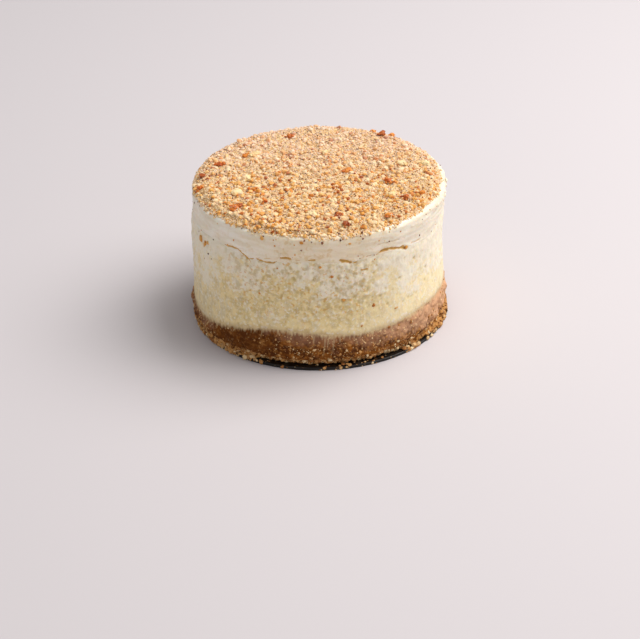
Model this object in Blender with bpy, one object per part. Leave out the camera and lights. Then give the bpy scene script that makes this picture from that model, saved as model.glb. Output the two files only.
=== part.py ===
# A small round cheesecake on a thin round card, in metres with +Z up.
# From the bottom: card, biscuit base, cheese filling, cream layer and a layer of nut and biscuit crumbs.
# The cake stands on the card's underside, with the middle of its outline on the origin.
# Angles are in degrees from the cake's front, which faces -Y, and grow towards +X.

import math
import random

import bmesh
import bpy
from mathutils import Matrix, Vector, noise

MM = 0.001

# Driving sizes of the whole cake
CAKE_RADIUS = 40.0 * MM
RIM_HEIGHT = 46.0 * MM  # from the card's underside to the cream's top edge
SIDE_START = 0.95 * CAKE_RADIUS  # a layer's points further out than this are on its side
GAP = 0.3 * MM  # clear space between two pieces that lie on each other

# The cake's outline isn't quite upright: each pair is a height and how far right the outline is there
LEAN = ((0.0, 0.0), (5.0 * MM, -0.7 * MM), (31.0 * MM, -0.7 * MM), (45.0 * MM, 0.3 * MM))

# Card under the cake
CARD_RADIUS = 41.3 * MM
CARD_THICKNESS = 1.0 * MM
CARD_BEVEL = 0.15 * MM
CARD_STEPS = 64

# Biscuit base: it bulges below the filling and is rounded in above the card
BASE_FOOT_RADIUS = CAKE_RADIUS - 1.6 * MM
BASE_RADIUS = CAKE_RADIUS + 1.4 * MM
BASE_SHOULDER_RADIUS = CAKE_RADIUS + 0.8 * MM
BASE_FULLNESS = 0.6  # the lower, the fuller the side is close to its two edges
BASE_STEPS = 96
BASE_ROWS = 6

# Cheese filling: nearly straight, with a slight waist
FILLING_FOOT_RADIUS = CAKE_RADIUS + 0.7 * MM
FILLING_TOP_RADIUS = CAKE_RADIUS + 0.3 * MM
FILLING_WAIST = 0.35 * MM
FILLING_STEPS = 72
FILLING_ROWS = 9

# Cream layer: a soft lip that stands out a little, with a rounded top edge
CREAM_FOOT_RADIUS = CAKE_RADIUS
CREAM_LIP_RADIUS = CAKE_RADIUS + 0.35 * MM
CREAM_EDGE_ROUND = 1.2 * MM
CREAM_BULGE = 0.1 * MM
CREAM_STEPS = 72
CREAM_ROWS = 3
CREAM_EDGE_ROWS = 3

# Crumb layer: thin at its edge, a little thicker inside, and shifted a little to the left
TOPPING_RADIUS = CREAM_LIP_RADIUS - CREAM_EDGE_ROUND - 0.3 * MM
TOPPING_SHIFT = -0.35 * MM
TOPPING_EDGE_THICKNESS = 0.8 * MM
TOPPING_THICKNESS = 1.35 * MM
TOPPING_EDGE_WIDTH = 4.0 * MM
TOPPING_CELLS = 35

# Heights of the two borders between layers, at the side of the cake
BISCUIT_LINE = 10.9 * MM
SEAM_LINE = 37.0 * MM

# Waves of the two borders: waves in one turn, height, and the angle of a crest
BISCUIT_WAVES = ((1, 2.2 * MM, 70), (2, 1.0 * MM, -4), (3, 1.0 * MM, -21), (5, 1.0 * MM, -20))
SEAM_WAVES = ((2, 0.3 * MM, -17), (5, 0.4 * MM, 14), (8, 0.5 * MM, -9))

# Relief of each surface: how far it stands in or out, and how wide its lumps are
BASE_RELIEF = ((0.50 * MM, 3.4 * MM), (0.35 * MM, 1.6 * MM))
FILLING_RELIEF = ((0.35 * MM, 7.0 * MM), (0.15 * MM, 3.2 * MM))
CREAM_RELIEF = ((0.20 * MM, 2.6 * MM), (0.12 * MM, 9.0 * MM))
TOPPING_RELIEF = ((0.45 * MM, 2.3 * MM), (0.27 * MM, 12.0 * MM))
TOPPING_EDGE_CALM = 0.4
TOPPING_RAGGEDNESS = 0.45 * MM
TOPPING_RAG_WIDTH = 5.0 * MM
EDGE_CALM_SHARE = 0.2  # the base's relief fades over this share of its height, down to EDGE_CALM
EDGE_CALM = 0.35
SMEAR_STRETCH = 0.45  # the filling's relief is drawn out upwards, and the cream's sideways
RIPPLE_STRETCH = 0.35
SEAM_DIP = 0.3 * MM
SEAM_DIP_SHARE = 0.11

# The large pieces of nut, chosen by hand: place across and towards the back, and size, in millimetres
LARGE_NUTS = (
    (-20.7, 15.7, 4.2),
    (-22.6, -1.6, 3.8),
    (-25.4, -11.6, 4.4),
    (-26.1, -22.1, 3.9),
    (-1.6, -27.8, 3.6),
    (9.3, 2.2, 3.6),
    (22.1, -6.1, 3.0),
    (34.6, 6.3, 4.0),
    (22.7, -14.8, 4.0),
    (27.1, -17.0, 3.0),
    (6.0, -28.9, 3.5),
    (7.9, -34.6, 3.0),
    (21.1, -29.6, 3.0),
    (32.4, -15.4, 2.8),
    (27.0, 6.1, 3.0),
    (21.3, 29.5, 3.2),
    (-9.0, 29.0, 3.0),
    (-31.5, 9.0, 3.0),
    (2.5, 16.0, 2.6),
)
SMALL_NUT_COUNT = 72
SMALL_NUT_SIZES = (1.3 * MM, 2.4 * MM)
SMALL_NUT_SPACING = 5.0 * MM
SMALL_NUT_INSET = 1.5 * MM
NUT_CORNERS = 12
NUT_WIDTHS = (0.85, 1.1)
NUT_DEPTHS = (0.7, 1.0)
NUT_FLATNESS = 0.62
NUT_SINK = 0.06  # share of its size by which a nut's middle lies below the crumbs

# Lumps of biscuit on the base's side, in patches: middle angle, half width, heights over the card, number
LUMP_PATCHES = (
    (0, 180, (0.3 * MM, 1.8 * MM), 20),
    (-51, 14, (0.8 * MM, 4.0 * MM), 9),
    (64, 11, (1.8 * MM, 9.0 * MM), 8),
)
LUMP_SIZES = (1.5 * MM, 2.9 * MM)
LUMP_CORNERS = 10
LUMP_SHAPE = (0.9, 0.9, 0.75)
LUMP_SINK = 0.18  # share of its size by which a lump's middle lies inside the side
CHUNK_UNEVENNESS = (0.78, 1.08)

SHARP_ANGLE = 40.0
SEED = 12

COLOURS = {
    "card": (0.03, 0.02, 0.02),
    "biscuit_base": (0.42, 0.22, 0.09),
    "cheese_filling": (0.85, 0.76, 0.55),
    "cream_layer": (0.90, 0.86, 0.78),
    "crumb_topping": (0.80, 0.57, 0.32),
}
ROUGHNESS = 0.7


def clear_scene():
    """Remove every object that the file opens with."""
    for thing in list(bpy.data.objects):
        bpy.data.objects.remove(thing, do_unlink=True)


def front_angle(point):
    """Angle in degrees round the cake of a point, 0 at the front and growing towards +X."""
    return math.degrees(math.atan2(point.x, -point.y))


def waves(angle, terms):
    """Sum of the waves of a border at an angle."""
    return sum(height * math.cos(math.radians(count * (angle - crest))) for count, height, crest in terms)


def border(point, mean, terms):
    """Height of the wavy border between two layers over a point; it levels out towards the middle."""
    share = min(1.0, math.hypot(point.x, point.y) / CAKE_RADIUS)
    return mean + share * share * waves(front_angle(point), terms)


def biscuit_line(point):
    """Height of the top of the biscuit base over a point."""
    return border(point, BISCUIT_LINE, BISCUIT_WAVES)


def seam_line(point):
    """Height of the top of the cheese filling over a point."""
    return border(point, SEAM_LINE, SEAM_WAVES)


def lean(height):
    """How far right the cake's outline is at a height, straight between the points of LEAN."""
    for (low, start), (high, end) in zip(LEAN, LEAN[1:]):
        if height <= high:
            return start + (end - start) * max(0.0, height - low) / (high - low)
    return LEAN[-1][1]


def relief(point, terms):
    """Sum of layers of smooth noise, each with its height and the width of its lumps."""
    total = 0.0
    for height, width in terms:
        total += height * noise.fractal(point / width, 1.0, 2.0, 2, noise_basis="PERLIN_ORIGINAL")
    return total


def plain_material(name):
    """A matt material in the colour of a piece."""
    made = bpy.data.materials.new(name)
    made.use_nodes = True
    shader = made.node_tree.nodes["Principled BSDF"]
    shader.inputs["Base Color"].default_value = (*COLOURS[name], 1.0)
    shader.inputs["Roughness"].default_value = ROUGHNESS
    shader.inputs["Metallic"].default_value = 0.0
    return made


def add_object(name, mesh):
    """Link a mesh to the scene as an object with the material of its name."""
    made = bpy.data.objects.new(name, mesh)
    mesh.materials.append(plain_material(name))
    bpy.context.scene.collection.objects.link(made)
    return made


def mesh_of(shape, name):
    """Turn a bmesh into a mesh and free it."""
    bmesh.ops.recalc_face_normals(shape, faces=shape.faces)
    mesh = bpy.data.meshes.new(name)
    shape.to_mesh(mesh)
    shape.free()
    return mesh


def turned(profile, steps):
    """A closed body turned about Z from a profile of (radius, height) points that ends on the axis."""
    shape = bmesh.new()
    points = [shape.verts.new((radius, 0.0, height)) for radius, height in profile]
    edges = [shape.edges.new(pair) for pair in zip(points, points[1:])]
    bmesh.ops.spin(
        shape,
        geom=points + edges,
        cent=(0, 0, 0),
        axis=(0, 0, 1),
        angle=math.tau,
        steps=steps,
        use_merge=True,
        use_duplicate=False,
    )
    bmesh.ops.remove_doubles(shape, verts=shape.verts, dist=0.001 * MM)
    return shape


def layer(name, profile, steps, low, high, side_relief):
    """A turned layer whose profile heights run from 0 to 1 between the surfaces low and high.

    side_relief gives how far a point on the side moves outwards, from the point and its share of the height.
    """
    shape = turned(profile, steps)
    for vert in shape.verts:
        share = vert.co.z
        flat = Vector((vert.co.x, vert.co.y, 0.0))
        bottom, top = low(flat), high(flat)
        place = Vector((flat.x, flat.y, bottom + share * (top - bottom)))
        if flat.length > SIDE_START:
            place += flat.normalized() * side_relief(place, share)
        place.x += lean(place.z)
        vert.co = place
    return add_object(name, mesh_of(shape, name))


def inner_rings(radius, shares, height):
    """Profile points of a layer's flat face, from the axis outwards, at shares of its radius."""
    return [(share * radius, height) for share in shares]


def leaning_side(rows, low_radius, high_radius, middle):
    """Side points of a profile from height 0 to 1, from one radius to the other, with a bulge or waist."""
    side = []
    for row in range(rows + 1):
        share = row / rows
        radius = low_radius + share * (high_radius - low_radius) + middle * math.sin(math.pi * share)
        side.append((radius, share))
    return side


def card():
    """The thin dark card that the cake is stuck to."""
    profile = [
        (0.0, 0.0),
        (CARD_RADIUS - CARD_BEVEL, 0.0),
        (CARD_RADIUS, CARD_BEVEL),
        (CARD_RADIUS, CARD_THICKNESS - CARD_BEVEL),
        (CARD_RADIUS - CARD_BEVEL, CARD_THICKNESS),
        (0.0, CARD_THICKNESS),
    ]
    return add_object("card", mesh_of(turned(profile, CARD_STEPS), "card"))


def base_side_radius(share):
    """Radius of the biscuit base's side at a share of its height: rounded in at the foot, widest half way."""
    swell = math.sin(math.pi * min(1.0, max(0.0, share))) ** BASE_FULLNESS
    end_radius = BASE_FOOT_RADIUS if share < 0.5 else BASE_SHOULDER_RADIUS
    return end_radius + swell * (BASE_RADIUS - end_radius)


def base_crags(place, share):
    """Relief of the pressed crumb on the base's side, calmer at its two edges."""
    inside = min(1.0, min(share, 1.0 - share) / EDGE_CALM_SHARE)
    return (EDGE_CALM + (1.0 - EDGE_CALM) * inside) * relief(place, BASE_RELIEF)


def chunk(draw, place, size, corners, shape_factors):
    """A faceted crumb: the hull of a few points spread evenly, but unevenly far, round a place."""
    shape = bmesh.new()
    turn = draw.uniform(0.0, math.tau)
    golden = math.pi * (3.0 - math.sqrt(5.0))
    for index in range(corners):
        height = 1.0 - 2.0 * (index + 0.5) / corners
        around = turn + index * golden
        across = math.sqrt(1.0 - height * height)
        away = 0.5 * size * draw.uniform(*CHUNK_UNEVENNESS)
        corner = Vector((across * math.cos(around), across * math.sin(around), height))
        shape.verts.new(place + away * corner * Vector(shape_factors))
    bmesh.ops.convex_hull(shape, input=shape.verts)
    return mesh_of(shape, "chunk")


def biscuit_lumps(draw):
    """Meshes of the biscuit lumps on the base's side, in their patches."""
    lumps = []
    foot = CARD_THICKNESS + GAP
    for middle, half_width, heights, count in LUMP_PATCHES:
        for _ in range(count):
            angle = math.radians(middle + draw.uniform(-half_width, half_width))
            size = draw.uniform(*LUMP_SIZES)
            outward = Vector((math.sin(angle), -math.cos(angle), 0.0))
            height = max(foot + draw.uniform(*heights), foot + 0.5 * LUMP_SHAPE[2] * size)
            share = (height - foot) / (biscuit_line(outward * CAKE_RADIUS) - foot)
            place = outward * (base_side_radius(share) - LUMP_SINK * size)
            place += Vector((lean(height), 0.0, height))
            lumps.append(chunk(draw, place, size, LUMP_CORNERS, LUMP_SHAPE))
    return lumps


def fuse(thing, meshes):
    """Join small bodies to an object with one Boolean union, then drop them."""
    group = bpy.data.collections.new("pieces_to_fuse")
    bpy.context.scene.collection.children.link(group)
    for mesh in meshes:
        group.objects.link(bpy.data.objects.new("piece", mesh))
    union = thing.modifiers.new("fuse", "BOOLEAN")
    union.operation = "UNION"
    union.operand_type = "COLLECTION"
    union.collection = group
    union.solver = "EXACT"
    bpy.context.view_layer.update()
    graph = bpy.context.evaluated_depsgraph_get()
    fused = bpy.data.meshes.new_from_object(thing.evaluated_get(graph))
    thing.modifiers.clear()
    thing.data = fused
    for piece in list(group.objects):
        bpy.data.objects.remove(piece, do_unlink=True)
    bpy.data.collections.remove(group)
    return thing


def biscuit_base(draw):
    """Pressed biscuit crumb, with a wavy top and lumps on its side."""
    shares = (0.0, 0.35, 0.7)
    side = [(base_side_radius(row / BASE_ROWS), row / BASE_ROWS) for row in range(BASE_ROWS + 1)]
    top = inner_rings(BASE_SHOULDER_RADIUS, shares, 1.0)
    made = layer(
        "biscuit_base",
        inner_rings(BASE_FOOT_RADIUS, shares, 0.0) + side + top[::-1],
        BASE_STEPS,
        lambda point: CARD_THICKNESS + GAP,
        biscuit_line,
        base_crags,
    )
    return fuse(made, biscuit_lumps(draw))


def filling_smears(place, share):
    """Smears and shallow dips left where the ring came off, and a dip at the seam with the cream."""
    upright = Vector((place.x, place.y, SMEAR_STRETCH * place.z))
    seam_dip = SEAM_DIP * max(0.0, 1.0 - (1.0 - share) / SEAM_DIP_SHARE)
    return relief(upright, FILLING_RELIEF) - seam_dip


def cheese_filling():
    """The cheese filling, from the biscuit's wavy top up to the seam under the cream."""
    shares = (0.0, 0.5)
    top = inner_rings(FILLING_TOP_RADIUS, shares, 1.0)
    return layer(
        "cheese_filling",
        inner_rings(FILLING_FOOT_RADIUS, shares, 0.0)
        + leaning_side(FILLING_ROWS, FILLING_FOOT_RADIUS, FILLING_TOP_RADIUS, -FILLING_WAIST)
        + top[::-1],
        FILLING_STEPS,
        lambda point: biscuit_line(point) + GAP,
        seam_line,
        filling_smears,
    )


def cream_ripples(place, share):
    """Shallow level ripples in the cream's side."""
    level = Vector((RIPPLE_STRETCH * place.x, RIPPLE_STRETCH * place.y, place.z))
    return relief(level, CREAM_RELIEF)


def cream_layer():
    """The cream: a soft layer with a lip and a rounded top edge, level on top."""
    shares = (0.0, 0.5)
    round_start = 1.0 - CREAM_EDGE_ROUND / (RIM_HEIGHT - SEAM_LINE)
    side = leaning_side(CREAM_ROWS, CREAM_FOOT_RADIUS, CREAM_LIP_RADIUS, CREAM_BULGE)
    profile = inner_rings(CREAM_FOOT_RADIUS, shares, 0.0)
    profile += [(radius, share * round_start) for radius, share in side]
    for row in range(1, CREAM_EDGE_ROWS + 1):
        turn = 0.5 * math.pi * row / CREAM_EDGE_ROWS
        radius = CREAM_LIP_RADIUS - CREAM_EDGE_ROUND * (1.0 - math.cos(turn))
        profile.append((radius, round_start + (1.0 - round_start) * math.sin(turn)))
    profile += inner_rings(CREAM_FOOT_RADIUS, shares, 1.0)[::-1]
    return layer(
        "cream_layer",
        profile,
        CREAM_STEPS,
        lambda point: seam_line(point) + GAP,
        lambda point: RIM_HEIGHT,
        cream_ripples,
    )


def topping_height(place):
    """Height of the crumbs over a point on the cream, with the bumps of the finer crumbs."""
    inset = TOPPING_RADIUS - math.hypot(place.x - TOPPING_SHIFT, place.y)
    inside = min(1.0, max(0.0, inset / TOPPING_EDGE_WIDTH))
    thickness = TOPPING_EDGE_THICKNESS + (TOPPING_THICKNESS - TOPPING_EDGE_THICKNESS) * math.sqrt(inside)
    calm = TOPPING_EDGE_CALM + (1.0 - TOPPING_EDGE_CALM) * inside
    return RIM_HEIGHT + GAP + thickness + calm * relief(place, TOPPING_RELIEF)


def small_nut_places(draw):
    """Places for the smaller nut pieces, spread evenly over the top and clear of the large ones."""
    taken = [Vector((x * MM, y * MM)) for x, y, _ in LARGE_NUTS]
    places = []
    while len(places) < SMALL_NUT_COUNT:
        distance = (TOPPING_RADIUS - SMALL_NUT_INSET) * math.sqrt(draw.random())
        around = draw.uniform(0.0, math.tau)
        place = Vector((distance * math.cos(around), distance * math.sin(around)))
        if all((place - other).length > SMALL_NUT_SPACING for other in taken):
            taken.append(place)
            places.append(place)
    return places


def nuts(draw):
    """Meshes of the nut pieces, each sunk to about its middle in the crumbs."""
    wanted = [(Vector((x * MM, y * MM, 0.0)), size * MM) for x, y, size in LARGE_NUTS]
    wanted += [(place.to_3d(), draw.uniform(*SMALL_NUT_SIZES)) for place in small_nut_places(draw)]
    made = []
    for place, size in wanted:
        place.z = topping_height(place) - NUT_SINK * size
        shape_factors = (draw.uniform(*NUT_WIDTHS), draw.uniform(*NUT_DEPTHS), NUT_FLATNESS)
        made.append(chunk(draw, place, size, NUT_CORNERS, shape_factors))
    return made


def crumb_topping(draw):
    """The layer of fine crumbs, a disc with a bumpy top, with the nut pieces fused to it."""
    shape = bmesh.new()
    bmesh.ops.create_grid(shape, x_segments=TOPPING_CELLS, y_segments=TOPPING_CELLS, size=1.0)
    rim = [edge for edge in shape.edges if edge.is_boundary]
    for vert in shape.verts:
        x, y = vert.co.x, vert.co.y
        disc = Vector((x * math.sqrt(1.0 - 0.5 * y * y), y * math.sqrt(1.0 - 0.5 * x * x), 0.0))
        place = disc * TOPPING_RADIUS
        ragged = relief(place, ((TOPPING_RAGGEDNESS, TOPPING_RAG_WIDTH),))
        place += disc * disc.length * ragged + Vector((TOPPING_SHIFT, 0.0, 0.0))
        vert.co = Vector((place.x, place.y, topping_height(place)))
    skirt = bmesh.ops.extrude_edge_only(shape, edges=rim)["geom"]
    for item in skirt:
        if isinstance(item, bmesh.types.BMVert):
            item.co.z = RIM_HEIGHT + GAP
    foot_edges = [edge for edge in shape.edges if edge.is_boundary]
    bmesh.ops.edgeloop_fill(shape, edges=foot_edges)
    bmesh.ops.triangulate(shape, faces=shape.faces)
    return fuse(add_object("crumb_topping", mesh_of(shape, "crumb_topping")), nuts(draw))


def smooth_round_pieces(pieces):
    """Shade the turned layers smooth, apart from their sharp edges."""
    for thing in pieces:
        thing.data.shade_smooth()
        thing.data.set_sharp_from_angle(angle=math.radians(SHARP_ANGLE))


def stand_in_middle(pieces):
    """Centre the cake's outline on the origin, since crags make one side stand out more than the other."""
    points = [vert.co for thing in pieces for vert in thing.data.vertices]
    middle_x = 0.5 * (min(point.x for point in points) + max(point.x for point in points))
    middle_y = 0.5 * (min(point.y for point in points) + max(point.y for point in points))
    for thing in pieces:
        thing.data.transform(Matrix.Translation((-middle_x, -middle_y, 0.0)))


def main():
    """Build the five pieces of the cake."""
    clear_scene()
    draw = random.Random(SEED)
    turned_pieces = [card(), biscuit_base(draw), cheese_filling(), cream_layer()]
    smooth_round_pieces(turned_pieces)
    stand_in_middle(turned_pieces + [crumb_topping(draw)])


main()
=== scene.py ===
"""Looks of a small round cheesecake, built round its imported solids: skins, crumbs, light and camera.

Lengths are in metres and +Z is up. Angles are in degrees from the cake's front, which faces -Y, and
grow towards +X. A level is a share of a layer's height, from its lower to its upper border.
"""

import logging
import math
from dataclasses import dataclass, field
from enum import Enum
from typing import Any

import bmesh
import bpy
import numpy as np
from mathutils import Euler, Matrix, Vector, noise
from mathutils.bvhtree import BVHTree


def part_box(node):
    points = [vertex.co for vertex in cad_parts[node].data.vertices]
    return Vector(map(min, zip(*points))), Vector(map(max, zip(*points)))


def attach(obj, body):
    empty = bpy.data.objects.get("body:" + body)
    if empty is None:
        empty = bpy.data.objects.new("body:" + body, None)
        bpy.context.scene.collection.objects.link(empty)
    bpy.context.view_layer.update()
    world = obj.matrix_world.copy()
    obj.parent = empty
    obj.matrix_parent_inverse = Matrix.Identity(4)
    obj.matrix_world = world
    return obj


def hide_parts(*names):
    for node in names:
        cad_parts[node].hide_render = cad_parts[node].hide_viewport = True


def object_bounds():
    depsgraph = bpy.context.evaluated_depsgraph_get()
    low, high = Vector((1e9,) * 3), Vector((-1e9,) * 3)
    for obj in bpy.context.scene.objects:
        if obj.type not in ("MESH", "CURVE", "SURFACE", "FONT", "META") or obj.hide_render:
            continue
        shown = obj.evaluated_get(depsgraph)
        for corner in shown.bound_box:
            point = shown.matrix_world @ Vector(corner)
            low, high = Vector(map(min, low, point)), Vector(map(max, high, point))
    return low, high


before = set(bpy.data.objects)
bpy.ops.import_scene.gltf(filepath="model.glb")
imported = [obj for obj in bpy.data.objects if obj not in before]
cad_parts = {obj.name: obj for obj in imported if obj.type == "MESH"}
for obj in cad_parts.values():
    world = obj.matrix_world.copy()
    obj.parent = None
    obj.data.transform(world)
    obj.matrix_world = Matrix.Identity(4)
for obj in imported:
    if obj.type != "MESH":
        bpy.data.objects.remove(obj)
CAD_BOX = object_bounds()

log = logging.getLogger("cheesecake")

Colour = tuple[float, float, float, float]
Marks = dict[str, float]

MM = 0.001
UP = Vector((0.0, 0.0, 1.0))
REACH = 60.0 * MM  # rays towards the cake start this far from its axis
SIDE_RADIUS = 39.5 * MM  # taken where a ray meets nothing
RING_STEP = 2  # degrees between two samples of a wavy border
SIDE_SHARE = 0.9  # points of a skin nearer the axis than this share are inside the cake
EDGE_MARGIN = 0.45 * MM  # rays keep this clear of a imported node's own edges
NODE_GAP = 0.3 * MM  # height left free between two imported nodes
JOIN_DEPTH = 2.5  # mm over which a layer's side meets its neighbour's
RIM_ROUND = 1.2 * MM  # radius of the cream's top edge
SHARP_ANGLE = 35.0  # degrees between two faces of a crumb above which their edge stays sharp
IMAGE_WIDTH = 640
SEED = 7
NUT_SEED, RIM_SEED, SIDE_SEED, CREAM_SEED, BISCUIT_SEED = 40, 50, 60, 70, 80  # added to SEED


def heading(angle: float) -> Vector:
    """Level unit vector that points out of the cake at an angle."""
    return Vector((math.sin(math.radians(angle)), -math.cos(math.radians(angle)), 0.0))


def card_middle() -> Vector:
    """Middle of the card's underside, which is the cake's axis."""
    low, high = (Vector(corner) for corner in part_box("card"))
    return Vector((0.5 * (low.x + high.x), 0.5 * (low.y + high.y), low.z))


AXIS = card_middle()
RIM_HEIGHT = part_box("cream_layer")[1][2]
RIM_FOOT = RIM_HEIGHT - 0.9 * MM  # the cream's top edge is no longer taken for its rim below this
LEDGE_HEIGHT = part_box("card")[1][2]
CARD_RADIUS = 0.5 * (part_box("card")[1][0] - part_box("card")[0][0])


def at(radius: float, angle: float, height: float = 0.0) -> Vector:
    """Point at a distance from the cake's axis, an angle and a height."""
    return AXIS + radius * heading(angle) + height * UP


def off_axis(point: Vector) -> float:
    """Distance of a point from the cake's axis."""
    return math.hypot(point.x - AXIS.x, point.y - AXIS.y)


def seen(code: str) -> Colour:
    """Linear colour of a hexadecimal screen colour, such as E8CFA8.

    Args:
        code: the screen colour.

    Returns:
        The colour.
    """
    parts = [int(code[start : start + 2], 16) / 255.0 for start in (0, 2, 4)]
    linear = [part / 12.92 if part <= 0.04045 else ((part + 0.055) / 1.055) ** 2.4 for part in parts]
    return (*linear, 1.0)


def ramp(value: float, low: float, high: float) -> float:
    """Smooth step of a value from 0 at low to 1 at high."""
    share = min(1.0, max(0.0, (value - low) / (high - low)))
    return share * share * (3.0 - 2.0 * share)


def rough(point: Vector, width: float, octaves: int = 2, wide: float = 1.0, tall: float = 1.0) -> float:
    """Smooth noise from about -1 to 1.

    Args:
        point: where the noise is read.
        width: width of its lumps.
        octaves: number of ever finer layers.
        wide: how many times wider the lumps are.
        tall: how many times taller they are.

    Returns:
        The noise's value.
    """
    place = point / width
    place = Vector((place.x / wide, place.y / wide, place.z / tall))
    return noise.fractal(place, 1.0, 2.0, octaves, noise_basis="PERLIN_ORIGINAL")


def grain_field(point: Vector, width: float) -> float:
    """Height from 0 to 1 of closely packed round grains of a width, 1 on each grain's middle."""
    return max(0.0, 1.0 - noise.voronoi(point / width)[0][0] * 1.4)


def pit_share(point: Vector, spacing: float, width: float) -> float:
    """Share from 0 to 1 of the depth of the small pits that are scattered about a spacing apart.

    Args:
        point: where it is read.
        spacing: distance between pits.
        width: usual width of a pit.

    Returns:
        The share.
    """
    distances, centres = noise.voronoi(point / spacing)
    present = noise.cell(centres[0] * 3.7)
    radius = 0.5 * width / spacing * (0.5 + abs(present) * 0.8)
    return ramp(distances[0], radius, 0.3 * radius) if present > -0.1 else 0.0


def sunk(beyond: float) -> float:
    """How far, in mm, a skin dips under its neighbour at a distance in mm beyond their border."""
    return 0.25 * ramp(beyond, -0.05, 0.35)


def boxed(point: Vector) -> Vector:
    """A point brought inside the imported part's box."""
    return Vector([min(high, max(low, value)) for low, value, high in zip(CAD_BOX[0], point, CAD_BOX[1])])


def under(tree: BVHTree, point: Vector) -> float | None:
    """Height of the first face that a ray straight down meets over a point, or None beside them all."""
    hit = tree.ray_cast(Vector((point.x, point.y, REACH)), -UP)[0]
    return None if hit is None else hit.z


def smoothed(shape: bmesh.types.BMesh, verts: list[bmesh.types.BMVert], times: int) -> None:
    """Draw some vertices towards the middle of their neighbours a number of times.

    Args:
        shape: the bmesh.
        verts: its vertices to move.
        times: the number.
    """
    axes = {f"use_axis_{axis}": True for axis in "xyz"}
    for _ in range(times):
        bmesh.ops.smooth_vert(shape, verts=verts, factor=0.5, **axes)


def mesh_of(shape: bmesh.types.BMesh, name: str) -> bpy.types.Mesh:
    """Smoothly shaded mesh of a closed bmesh, which it frees.

    Args:
        shape: the bmesh, with all its faces.
        name: name of the mesh.

    Returns:
        The mesh, with its faces pointing out.
    """
    bmesh.ops.recalc_face_normals(shape, faces=shape.faces)
    mesh = bpy.data.meshes.new(name)
    shape.to_mesh(mesh)
    shape.free()
    mesh.shade_smooth()
    return mesh


def shown(name: str, data: bpy.types.ID) -> bpy.types.Object:
    """An object of some data, new in the scene.

    Args:
        name: its name.
        data: its data.

    Returns:
        The object.
    """
    made = bpy.data.objects.new(name, data)
    bpy.context.scene.collection.objects.link(made)
    return made


def put(
    name: str, mesh: bpy.types.Mesh, finish: "Finish", node: str | None = None
) -> bpy.types.Object:
    """Add a finished piece to the scene, so that it rides with the cake.

    Args:
        name: name of the piece.
        mesh: its mesh, at its place.
        finish: its finish.
        node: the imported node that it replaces, or None if it only lies on the cake.

    Returns:
        The piece.
    """
    mesh.materials.append(finish.material())
    piece = shown(name, mesh)
    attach(piece, "root")
    if node:
        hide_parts(node)
    log.info("%s: %d faces", name, len(mesh.polygons))
    return piece


class Field:
    """A value of a shader, to which Python's operators add the Math node of each step."""

    def __init__(self, paint: "Paint", socket: bpy.types.NodeSocket) -> None:
        """Wrap an output socket of a node of the paint."""
        self.paint = paint
        self.socket = socket

    def step(self, operation: str, *values: Any) -> "Field":
        """A Math node of an operation on values."""
        return self.paint.node("ShaderNodeMath", {"operation": operation}, dict(enumerate(values)))

    def __add__(self, other: Any) -> "Field":
        """self + other."""
        return self.step("ADD", self, other)

    def __sub__(self, other: Any) -> "Field":
        """self - other."""
        return self.step("SUBTRACT", self, other)

    def __rsub__(self, other: Any) -> "Field":
        """other - self."""
        return self.step("SUBTRACT", other, self)

    def __mul__(self, other: Any) -> "Field":
        """self * other."""
        return self.step("MULTIPLY", self, other)

    __radd__ = __add__
    __rmul__ = __mul__

    def larger(self, other: Any) -> "Field":
        """The larger of self and other."""
        return self.step("MAXIMUM", self, other)

    def between(self, low: float, high: float) -> "Field":
        """Smooth step of self from 0 at low to 1 at high."""
        inputs = {"Value": self, "From Min": low, "From Max": high}
        return self.paint.node("ShaderNodeMapRange", {"interpolation_type": "SMOOTHSTEP"}, inputs)


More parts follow.
